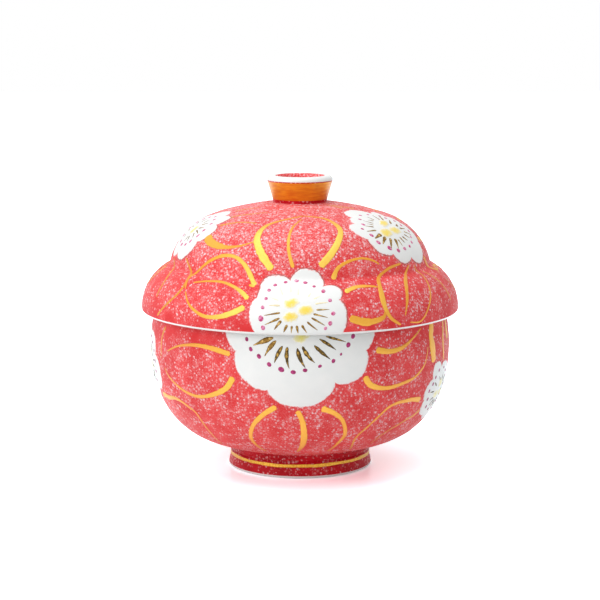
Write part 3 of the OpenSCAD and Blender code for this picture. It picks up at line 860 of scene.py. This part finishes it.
# Gold strokes that the photo shows, from the heart of the flower that they spring from:
# (flower, share of wash in the paint, strokes). The last one is ochre.
goldStrokes = [
    ("lidFront", 0.1, [
        [(-11.5, 21, 1.6), (-17, 29.5, 2.0), (-18.5, 38, 1.5), (-12.5, 48.5, 0.8), (2, 58, 0.5)],
        [(2, 58, 0.4), (12, 54, 0.7), (19, 43.5, 1.2), (18.5, 35.5, 1.6), (15, 28.5, 1.8), (10, 22.5, 1.7)],
        [(1.5, 54, 0.25), (-2.2, 46, 0.5), (-4, 38, 0.7), (-4, 30, 0.75), (-2, 22, 0.9)],
        [(-19, 12.5, 1.4), (-23, 21, 1.1), (-28.5, 25.8, 0.95), (-35.5, 26.2, 0.85), (-43.5, 23, 0.7),
         (-50.5, 18, 0.55), (-56, 13, 0.5), (-57, 6.5, 0.4)],
        [(-22, 12.4, 0.6), (-19, 12, 1.2)],
        [(-22, 4.7, 1.4), (-27, 9.5, 1.0), (-35, 13, 0.8), (-44, 12.5, 0.6), (-52.5, 10.5, 0.35)],
        [(-23.5, 0.9, 1.3), (-29.5, -2.2, 1.3), (-37, -4.5, 1.0), (-45, -4.5, 0.8), (-53, -0.5, 0.6),
         (-56.5, 5.5, 0.35)],
        [(15.8, 16.5, 1.3), (18, 21.5, 0.9), (23.3, 24.5, 0.7), (29.7, 25.5, 0.55), (35.6, 24, 0.45),
         (39, 22, 0.3)],
        [(21.2, 8.5, 1.4), (26.6, 11, 1.0), (32.8, 11, 0.7), (37.5, 10, 0.4)],
    ]),
    ("lidRight", 0.5, [
        [(-7.4, -18.4, 0.5), (-16.5, -20, 0.6), (-25, -25, 0.75), (-31.5, -36.4, 1.3), (-31, -44, 0.9),
         (-25.3, -48.4, 0.5)],
        [(-1.4, -19.6, 0.4), (-8, -25, 0.75), (-13, -29.7, 0.9), (-19, -38.6, 0.65), (-22.5, -44.7, 0.2)],
        [(3, -20, 0.35), (4, -27, 0.45), (0, -35.5, 0.5), (-5.4, -42, 0.45), (-12.7, -48, 0.4),
         (-20, -47.7, 0.25)],
        [(8, -24, 0.4), (14.6, -33, 0.5), (18, -42.7, 0.4)],
        [(-2, 25.5, 0.5), (-1.8, 30, 0.5), (-3, 34.5, 0.3)],
        [(5, 23, 0.6), (2, 27, 0.6), (-0.5, 33, 0.4)],
    ]),
    ("lidLeft", 0.9, [
        [(18.5, -1.9, 1.6), (23.5, -4.9, 1.9), (31, -6.7, 1.5), (37.1, -6.9, 1.0), (43.5, -5.3, 0.6),
         (48, -1.9, 0.4)],
        [(17.3, 5.3, 0.9), (22.5, 9.4, 0.7), (27.5, 10.8, 0.5), (33.5, 10.3, 0.3)],
        [(12.1, 12.7, 0.6), (13, 16.5, 0.7), (16.5, 19.9, 0.6), (21.5, 24.3, 0.3)],
        [(3.1, 19.9, 0.6), (4, 23.5, 0.6), (8, 29.9, 0.3)],
        [(-2, -16.9, 0.4), (3.3, -20.9, 0.5), (10.4, -28.9, 0.6), (12.5, -37.9, 0.4)],
        [(13.5, -14.9, 0.4), (23.9, -22.6, 0.6), (28.8, -33.5, 0.7), (17.5, -45.9, 0.5)],
    ]),
    ("bowlFront", 0.9, [
        [(-32, -12.3, 1.2), (-42, -10.5, 1.1), (-52, -10.2, 0.8), (-63.5, -12.2, 0.5), (-73, -16, 0.25)],
        [(-30.6, -22.5, 1.5), (-34.3, -28, 1.4), (-41.8, -32, 1.1), (-50.7, -34, 0.8),
         (-61.2, -32.2, 0.6), (-72, -27.6, 0.4), (-75.7, -24, 0.25)],
        [(-10.6, -35.2, 1.4), (-17, -40, 1.2), (-21.5, -46.4, 1.1), (-22.5, -54, 0.9),
         (-19.4, -61.2, 0.6), (-15.3, -67, 0.3)],
        [(-1.2, -37, 1.2), (1, -42.5, 1.2), (1.8, -50, 1.5), (1.2, -58, 1.2), (-1.4, -66, 0.4)],
        [(9.6, -36, 1.6), (15.2, -38.6, 1.2), (19.4, -43.3, 1.0), (20.5, -51.3, 0.9), (17.2, -58, 0.7),
         (12.5, -66.4, 0.3)],
        [(35.2, -10.6, 1.4), (42.7, -12, 1.2), (50.2, -11, 0.9), (57.5, -7.4, 0.5), (63, -4, 0.3)],
        [(29.6, -22, 1.5), (32.7, -26.4, 1.4), (40.5, -28.6, 1.0), (50.3, -27.6, 0.8), (59, -25.5, 0.6),
         (66, -20.4, 0.4), (68.5, -13, 0.25)],
        [(-39, -1, 0.9), (-45, 2, 0.7), (-53, 6, 0.4)],
    ]),
    ("bowlRight", 0.9, [
        [(-19.4, -1.2, 1.3), (-25.8, 0, 1.1), (-31.2, 0.1, 0.95), (-36.2, -0.2, 0.8), (-41.4, -2.4, 0.7),
         (-46.4, -10.5, 0.6), (-47.4, -18.5, 0.5), (-39.4, -29.2, 0.3)],
        [(-15.4, -7.1, 0.8), (-19.2, -9.8, 0.7), (-23.9, -11.4, 0.55), (-32.4, -17.4, 0.4),
         (-32.9, -25.2, 0.25)],
        [(-12.4, 15.5, 2.0), (-13.3, 20.4, 2.5), (-14, 24.1, 2.4), (-14.4, 28.6, 2.1),
         (-12.7, 32.8, 2.0), (-12, 37, 1.7)],
        [(0.1, 14.5, 0.9), (-0.4, 18.9, 1.0), (-0.8, 24.9, 1.0), (1.4, 30.6, 0.9), (2.8, 37, 0.7)],
    ]),
    ("bowlLeft", 0.9, [
        [(13.6, -14.6, 1.4), (17.1, -13.7, 1.3), (21.4, -14.1, 1.2), (28.3, -13.1, 0.9),
         (33.6, -13.7, 0.7), (38.1, -15.7, 0.6), (42.1, -19.0, 0.5), (40.8, -30, 0.4), (35.5, -40, 0.25)],
        [(24.3, 20.0, 0.6), (22.3, 16.4, 0.6), (21.3, 12.7, 0.5), (21.4, 8.2, 0.4), (20.8, 4.6, 0.25)],
    ]),
    ("lidFront", 1.0, [[(23.3, -3.9, 1.5), (30, -6, 1.7), (35, -6, 1.4), (40, -4.5, 0.9), (41, -1, 0.5)]]),
]

# Leaf loops on the sides that the photo doesn't show: (flower, direction, length, mouth, bulge, half width,
# whether it has a vein)
hiddenLoops = [
    ("lidRight", 20, 20, 5, 8, 1.2, False), ("lidRight", -35, 19, 5, 8, 1.1, False),
    ("lidLeft", 160, 15, 4, 7, 1.1, False), ("lidLeft", 235, 19, 5, 9, 1.2, True),
    ("lidBack", 0, 21, 5, 9, 1.3, False), ("lidBack", 90, 20, 5, 9, 1.1, False),
    ("lidBack", 180, 21, 5, 9, 1.3, False), ("lidBack", 270, 30, 7, 14, 1.6, True),
    ("lidSkirtRight", 12, 24, 4, 8, 1.3, False), ("lidSkirtRight", 62, 18, 5, 8, 1.2, False),
    ("lidSkirtRight", 122, 19, 5, 8, 1.3, True), ("lidSkirtRight", 170, 22, 4, 8, 1.2, False),
    ("lidSkirtLeft", 10, 22, 4, 8, 1.2, False), ("lidSkirtLeft", 58, 17, 5, 8, 1.3, True),
    ("lidSkirtLeft", 120, 19, 5, 8, 1.2, False), ("lidSkirtLeft", 170, 24, 4, 8, 1.3, False),
    ("bowlRight", -75, 17, 5, 9, 1.2, True), ("bowlRight", 60, 26, 5, 10, 1.4, False),
    ("bowlRight", 0, 14, 5, 8, 1.0, False),
    ("bowlLeft", 200, 22, 5, 9, 1.3, False), ("bowlLeft", 255, 26, 6, 11, 1.4, True),
    ("bowlBack", -90, 36, 9, 20, 1.6, True), ("bowlBack", 205, 30, 6, 12, 1.5, False),
    ("bowlBack", -25, 30, 6, 12, 1.5, False),
    ("bowlBackRight", 100, 24, 5, 10, 1.3, True), ("bowlBackRight", 215, 14, 4, 7, 1.2, False),
    ("bowlBackRight", -60, 20, 5, 9, 1.2, False),
    ("bowlBackLeft", 110, 26, 5, 10, 1.3, True), ("bowlBackLeft", 190, 18, 5, 9, 1.2, False),
    ("bowlBackLeft", -80, 26, 6, 11, 1.3, False),
]

# One side of a leaf loop, as shares of (its length, its mouth, its bulge, its width)
loopShape = ((0, 1, 0, 1.0), (0.16, 0.4, 0.6, 0.95), (0.4, 0, 1, 0.75), (0.65, 0, 0.92, 0.55),
             (0.85, 0, 0.6, 0.4), (1, 0, 0.2, 0.22))

# How hard the brush presses along a stamen, as (share of its length, share of its width)
stamenPress = {
    "lid": ((0, 0.6), (0.15, 1.0), (0.35, 0.9), (0.6, 0.65), (0.85, 0.4), (1, 0.15)),
    "bowl": ((0, 0.3), (0.15, 0.75), (0.38, 1.0), (0.6, 0.8), (0.8, 0.45), (1, 0.1)),
}

# How blossoms vary, and what fills in where one isn't traced. A pair is the least and the most, and a waver
# is (height, waves round the blossom, start in degrees).
plum = {
    "petals": 5, "turn": (-6, 6), "depth": (16.8, 18.6), "reach": (21.2, 22.8), "round": 0.6,
    "dots": 20, "dotTurn": (-4, 4), "dotReach": (14.2, 16.0), "dotSize": (0.65, 1.15), "dabTurn": (-25, 25),
    "stamenTurn": (-3, 3), "stamenStart": (0.9, 1.12), "stamenEnd": (0.9, 1.08), "stamenWidth": (0.7, 1.3),
    "stamenLean": (-4, 4), "waver": ((0.18, 9, 0), (0.12, 17, 40)),
}
# A blossom's slab of enamel: its two levels, and its rings as insets and then as shares of the reach. Deep is
# an inset far from any edge.
slab = {
    "proud": 0.14, "sunk": -0.12, "edge": 0.9, "insets": (0.15, 0.4, 0.9, 1.8), "perPetal": 26,
    "shares": (0.92, 0.84, 0.76, 0.68, 0.6, 0.52, 0.44, 0.36, 0.28, 0.2, 0.1), "deep": 9.0, "cutGap": 0.05,
}
# How the paints lie on the two pieces, in millimetres and degrees. Clear is how far they keep above the
# red's lower edge and below its upper edge.
painting = {
    "dabSpread": 1.12, "beadHeight": 0.2, "beadLift": 0.12, "dabWash": {"lid": 0.0, "bowl": 1.0},
    # The lid's dots lean to the pale pink: partly thin enamel, partly a painted highlight
    "dotSpread": {"lid": (1.08, 1.18), "bowl": (0.9, 1.12)}, "dotThinAndSheen": {"lid": 0.75, "bowl": 0.1},
    # The stamens on the lid get at least a little painted reflection of the light
    "stamenSheen": {"lid": 0.18, "bowl": 0.0}, "lines": {"lid": [(20, 130), (200, 300)], "bowl": []},
    "lineOut": 0.12, "lineHalf": 0.16, "lineStep": 4, "loopWash": 0.7, "loopStart": 24, "veinShare": 0.8,
    "veinBulge": 1.2, "beadClear": (1, 1), "stamenClear": (0.4, 0.4), "lineClear": (0.5, 0.5),
    "loopClear": {"lid": (1, 14), "bowl": (1, 0)},
}


def plumNotches(flower):
    # Five round petals of a plum blossom, a little uneven as a brush leaves them
    luck = random.Random(flower["seed"])
    size, turn, petals = flower.get("size", 1.0), flower.get("turn", 0), plum["petals"]
    return [(turn + 360 * i / petals + luck.uniform(*plum["turn"]), size * luck.uniform(*plum["depth"]),
             size * luck.uniform(*plum["reach"])) for i in range(petals)]


def plumDots(flower, luck):
    # A ring of dots near the outline, as (direction, reach, size)
    size, dots = flower.get("size", 1.0), plum["dots"]
    return [(360 * i / dots + luck.uniform(*plum["dotTurn"]), size * luck.uniform(*plum["dotReach"]),
             luck.uniform(*plum["dotSize"])) for i in range(dots)]


def petalReach(flower, notches, angle):
    # Reach of a blossom's outline in one direction: a round lobe between each two notches
    angle = angle % 360
    for i, (start, depth, reach) in enumerate(notches):
        end, nextDepth, _ = notches[(i + 1) % len(notches)]
        span = (end - start) % 360
        gone = (angle - start) % 360
        if gone <= span:
            share = gone / span
            swell = math.sin(math.pi * share)
            bulge = reach - (depth + nextDepth) / 2
            waver = sum(high * math.sin(math.radians(angle * waves + start))
                        for high, waves, start in plum["waver"])
            lobe = bulge * swell ** flower.get("round", plum["round"])
            return depth + (nextDepth - depth) * share + lobe + waver * swell
    return notches[0][1]


def outlineAngles(notches, perPetal):
    # Directions round the outline, closer together near the notches
    angles = []
    for i, (start, _, _) in enumerate(notches):
        span = (notches[(i + 1) % len(notches)][0] - start) % 360
        angles += [start + span * (1 - math.cos(math.pi * k / perPetal)) / 2 for k in range(perPetal)]
    return angles


def keptReach(flower, angle, reach):
    # Shortens a reach so that the enamel stops at the red's upper and lower edges
    rise = math.sin(math.radians(angle))
    piece = flower["piece"]
    if rise > 0.01:
        reach = min(reach, (glazeTop[piece] - flower["up"]) / rise)
    if rise < -0.01:
        reach = min(reach, (glazeLow[piece] - flower["up"]) / rise)
    return reach


def onGlaze(flower, y, clear):
    # Whether a height above a flower's heart lies on the red, clear of its lower and upper edges
    piece = flower["piece"]
    return glazeLow[piece] + clear[0] < flower["up"] + y < glazeTop[piece] - clear[1]


def polar(angle, reach):
    return reach * math.cos(math.radians(angle)), reach * math.sin(math.radians(angle))


class FlatArt:
    # Flat art for one tree and one body, gathered before it is laid on the glaze
    def __init__(self):
        self.points, self.edges, self.faces = [], [], []
        self.values = {}

    def addPoint(self, flower, x, y, z, values):
        self.points.append((x, flower["up"] + y, z))
        values = dict(values, azimuth=math.radians(flower["azimuth"]))
        for key, value in values.items():
            self.values.setdefault(key, []).append(value)
        return len(self.points) - 1

    def addRing(self, flower, angles, reaches, z, insets):
        return [self.addPoint(flower, *polar(angle, reach), z, {"inset": inset})
                for angle, reach, inset in zip(angles, reaches, insets)]

    def addPath(self, flower, path, wash=0.0):
        ids = [self.addPoint(flower, x, y, 0.0, {"halfWidth": half, "wash": wash}) for x, y, half in path]
        self.edges += list(zip(ids, ids[1:]))

    def addKept(self, flower, path, clear, wash=0.0):
        # Keeps what of a path lies on the red, unless that is next to nothing
        kept = [spot for spot in path if onGlaze(flower, spot[1], clear)]
        if len(kept) > 2:
            self.addPath(flower, kept, wash)

    def mesh(self, name):
        mesh = bpy.data.meshes.new(name)
        mesh.from_pydata(self.points, self.edges, self.faces)
        for key, values in self.values.items():
            if isinstance(values[0], tuple):
                layer = mesh.attributes.new(key, "FLOAT_VECTOR", "POINT")
                layer.data.foreach_set("vector", [c for v in values for c in v])
            else:
                mesh.attributes.new(key, "FLOAT", "POINT").data.foreach_set("value", values)
        return mesh


def drawPetals(art, flower, notches):
    # A closed slab of enamel: rings of points from the outline in to the heart, above and below the glaze
    angles = outlineAngles(notches, slab["perPetal"])
    whole = [petalReach(flower, notches, angle) for angle in angles]
    reaches = [keptReach(flower, angle, reach) for angle, reach in zip(angles, whole)]
    cut = [slab["deep"] if full - reach > slab["cutGap"] else 0.0 for full, reach in zip(whole, reaches)]
    deep = [slab["deep"]] * len(angles)
    outline = art.addRing(flower, angles, reaches, 0.0, cut)
    for side, level in ((1, slab["proud"]), (-1, slab["sunk"])):
        rings = [outline]
        for inset in slab["insets"]:
            rounded = math.sqrt(1 - (1 - min(inset / slab["edge"], 1)) ** 2) if side > 0 else 1
            inner = [reach - inset for reach in reaches]
            rings.append(art.addRing(flower, angles, inner, level * rounded, [inset + c for c in cut]))
        for share in slab["shares"]:
            inner = [(reach - slab["insets"][-1]) * share for reach in reaches]
            rings.append(art.addRing(flower, angles, inner, level, deep))
        heart = art.addPoint(flower, 0.0, 0.0, level, {"inset": slab["deep"]})
        for outer, inner in zip(rings, rings[1:]):
            for i in range(len(angles)):
                art.faces.append((outer[i - 1], outer[i], inner[i], inner[i - 1])[::side])
        for i in range(len(angles)):
            art.faces.append((rings[-1][i - 1], rings[-1][i], heart)[::side])


def drawDrops(art, flower, drops, wash, luck=None):
    # Beads that point away from the heart, or that are turned by luck
    for angle, reach, length, width in drops:
        x, y = polar(angle, reach)
        if onGlaze(flower, y, painting["beadClear"]):
            turn = math.radians(luck.uniform(*plum["dabTurn"]) if luck else angle)
            values = {"size": (length, width, painting["beadHeight"]), "turn": turn, "wash": wash}
            art.addPoint(flower, x, y, painting["beadLift"], values)


def drawStamens(art, flower, rule, luck):
    # Short strokes from near the heart outwards, as (direction and reach of each end, half width, share of
    # painted reflection that pales the gold)
    piece = flower["piece"]
    strokes = list(rule.get("traced", []))
    for i in range(rule.get("count", 0)):
        angle = rule["first"] + 360 * i / rule["count"] + luck.uniform(*plum["stamenTurn"])
        start = rule["inner"] * luck.uniform(*plum["stamenStart"])
        end = rule["outer"] * luck.uniform(*plum["stamenEnd"])
        width = rule["width"] * luck.uniform(*plum["stamenWidth"])
        strokes.append((angle, start, angle + luck.uniform(*plum["stamenLean"]), end, width, 0.0))
    for angle, start, endAngle, end, width, wash in strokes:
        path = [(*polar(angle + (endAngle - angle) * share, start + (end - start) * share), width * press)
                for share, press in stamenPress[piece]]
        # Lid stamens get at least a little painted reflection of the light
        art.addKept(flower, path, painting["stamenClear"], max(wash, painting["stamenSheen"][piece]))


def drawLines(art, flower, notches, ranges):
    # Thin lines that follow the outline between two directions
    for start, end in ranges:
        steps = max(3, int(abs(end - start) / painting["lineStep"]))
        angles = [start + (end - start) * i / steps for i in range(steps + 1)]
        reaches = [petalReach(flower, notches, angle) + painting["lineOut"] for angle in angles]
        path = [(*polar(angle, reach), painting["lineHalf"]) for angle, reach in zip(angles, reaches)]
        art.addKept(flower, path, painting["lineClear"])


def loopPath(angle, start, length, mouth, bulge, side, fat):
    # One side of a leaf loop that springs from a flower
    turn = math.radians(angle)
    path = []
    for lengthShare, mouthShare, bulgeShare, fatShare in loopShape:
        along, across = start + length * lengthShare, side * (mouth * mouthShare + bulge * bulgeShare)
        path.append((along * math.cos(turn) - across * math.sin(turn),
                     along * math.sin(turn) + across * math.cos(turn), fat * fatShare))
    return path


def drawLoops(art):
    for name, angle, length, mouth, bulge, fat, vein in hiddenLoops:
        flower = flowers[name]
        piece = flower["piece"]
        start = painting["loopStart"] * flower.get("size", 1.0)
        paths = [loopPath(angle, start, length, mouth, bulge, side, fat) for side in (1, -1)]
        if vein:
            less = painting["veinShare"]
            paths.append(loopPath(angle, start, length * less, 0, painting["veinBulge"], 1, fat * less))
        for path in paths:
            art[piece]["gold"].addKept(flower, path, painting["loopClear"][piece], painting["loopWash"])


art = {piece: {kind: FlatArt() for kind in artTrees} for piece in glazeLines}
for flower in flowers.values():
    luck = random.Random(flower["seed"] + 100)
    piece, spread = flower["piece"], painting["dabSpread"]
    notches = flower.get("notches") or plumNotches(flower)
    dabs = [(angle, reach, length * spread, width * spread) for angle, reach, length, width in flower["dabs"]]
    mine = art[piece]
    drawPetals(mine["petal"], flower, notches)
    drawDrops(mine["yellow"], flower, dabs, painting["dabWash"][piece], luck)
    along, across = painting["dotSpread"][piece]
    dots = flower.get("dots") or plumDots(flower, luck)
    dots = [(angle, reach, size * along, size * across) for angle, reach, size in dots]
    drawDrops(mine["magenta"], flower, dots, painting["dotThinAndSheen"][piece])
    drawStamens(mine["stamen"], flower, flower["stamens"], luck)
    drawLines(mine["line"], flower, notches, flower.get("lines", painting["lines"][piece]))
for flowerName, wash, strokes in goldStrokes:
    flower = flowers[flowerName]
    for stroke in strokes:
        art[flower["piece"]]["gold"].addPath(flower, stroke, wash)
drawLoops(art)

for piece, kinds in art.items():
    for kind, flat in kinds.items():
        if not flat.points:
            continue
        laid = bake(f"{piece}_{kind}_art", flat.mesh(kind), artTrees[kind], {"Glaze Line": glazeLines[piece]})
        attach(laid, piece)

band = {"z": 6.0, "half": 0.72, "start": 160, "steps": 90, "overlap": 4.0, "lift": 0.9}


def footBand():
    # Gold band once round the foot, a little uneven, its two ends overlapping at the back
    flat = FlatArt()
    start = {"azimuth": band["start"], "up": band["z"] - foot["round"]}
    for i in range(band["steps"] + 1):
        share = i / band["steps"]
        x = share * (2 * math.pi * neckR + band["overlap"])
        sway = 0.12 * math.sin(7 * share * math.pi) + 0.07 * math.sin(23 * share * math.pi) + 0.3 * share ** 6
        half = band["half"] * (1 + 0.09 * math.sin(17 * share * math.pi + 1))
        flat.addPoint(start, x, sway, band["lift"] * share, {"halfWidth": half, "wash": 0.0})
    flat.edges = [(i, i + 1) for i in range(band["steps"])]
    tree = strokeTree("foot_band_stroke", coats["band"],
                      {"Spacing": 0.6, "Blunt": 1.0, "Press": 0.07, "Rise": 0.04, "Thin": 0.9, "Full": 1.1})
    piece = bake("foot_band_art", flat.mesh("band"), tree, {"Glaze Line": footGlazeLine})
    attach(piece, "bowl")


footBand()
for line in list(glazeLines.values()) + [footGlazeLine]:
    bpy.data.objects.remove(line)
print("stage: decoration laid on the glaze")


# Camera, floor and light

view = {"place": (0.0, -0.863, 0.215), "down": 8.98, "lens": 110.26, "sensor": 36}
lights = {
    "top": {"place": (-0.15, -0.15, 1.1), "size": 0.9, "power": 6.0},
    "left": {"place": (-0.9, -0.75, 0.62), "size": 0.8, "power": 5.6},
    "aim": (0, 0, 0.08), "world": 0.5,
}
floor = {
    "half": 4.0, "plain": (0.8, 0.8, 0.8, 1), "shade": (1.6, 1.84, 1.96, 1), "glow": (0.8, 0.92, 0.98, 1),
    "glowStrength": 0.1, "sheen": (0.34, 0.34, 0.34, 1), "sheenRoughness": 0.22,
}

camera = addObject("camera", bpy.data.cameras.new("camera"))
camera.data.lens = view["lens"]
camera.data.sensor_width = view["sensor"]
camera.location = view["place"]
camera.rotation_euler = (math.radians(90 - view["down"]), 0, 0)
bpy.context.scene.camera = camera
bpy.context.scene.view_settings.view_transform = "Standard"


def softbox(name, look):
    lamp = bpy.data.lights.new(name, "AREA")
    lamp.shape = "SQUARE"
    lamp.size = look["size"]
    lamp.energy = look["power"]
    holder = addObject(name, lamp)
    holder.location = look["place"]
    aim = Vector(lights["aim"]) - Vector(look["place"])
    holder.rotation_euler = aim.to_track_quat("-Z", "Y").to_euler()


softbox("softbox_top", lights["top"])
softbox("softbox_left", lights["left"])


def seenRays(nodes):
    # Rays on which the white background shows: straight to the camera, in a gloss or through glass
    path = nodes.add("ShaderNodeLightPath").outputs
    seen = nodes.calculate("MAXIMUM", path["Is Camera Ray"], path["Is Glossy Ray"])
    return nodes.calculate("MAXIMUM", seen, path["Is Transmission Ray"])


def whiteWorld():
    world = bpy.data.worlds.new("studio")
    bpy.context.scene.world = world
    nodes = Nodes(emptied(world))
    dim = nodes.get("ShaderNodeBackground", {"Color": (1, 1, 1, 1), "Strength": lights["world"]})
    white = nodes.get("ShaderNodeBackground", {"Color": (1, 1, 1, 1), "Strength": 1.0})
    mixed = nodes.get("ShaderNodeMixShader", {0: seenRays(nodes), 1: dim, 2: white})
    nodes.add("ShaderNodeOutputWorld", {"Surface": mixed})


def studioFloor():
    # Plain white for the part's own bounce, and brighter to the camera so that only a shadow shows
    half = floor["half"]
    mesh = bpy.data.meshes.new("floor")
    corners = [(-half, -half, 0), (half, -half, 0), (half, half, 0), (-half, half, 0)]
    mesh.from_pydata(corners, [], [(0, 1, 2, 3)])
    material = bpy.data.materials.new("studio_floor")
    nodes = Nodes(emptied(material))
    plain = nodes.get("ShaderNodeBsdfDiffuse", {"Color": floor["plain"]})
    shade = nodes.get("ShaderNodeBsdfDiffuse", {"Color": floor["shade"]})
    glow = nodes.get("ShaderNodeEmission", {"Color": floor["glow"], "Strength": floor["glowStrength"]})
    sheen = nodes.get("ShaderNodeBsdfGlossy", {"Color": floor["sheen"], "Roughness": floor["sheenRoughness"]})
    lit = nodes.get("ShaderNodeAddShader", {0: shade, 1: glow})
    seen = nodes.get("ShaderNodeAddShader", {0: lit, 1: sheen})
    mixed = nodes.get("ShaderNodeMixShader", {0: seenRays(nodes), 1: plain, 2: seen})
    nodes.add("ShaderNodeOutputMaterial", {"Surface": mixed})
    mesh.materials.append(material)
    addObject("floor", mesh)


whiteWorld()
studioFloor()
print("stage: camera, floor and light set")
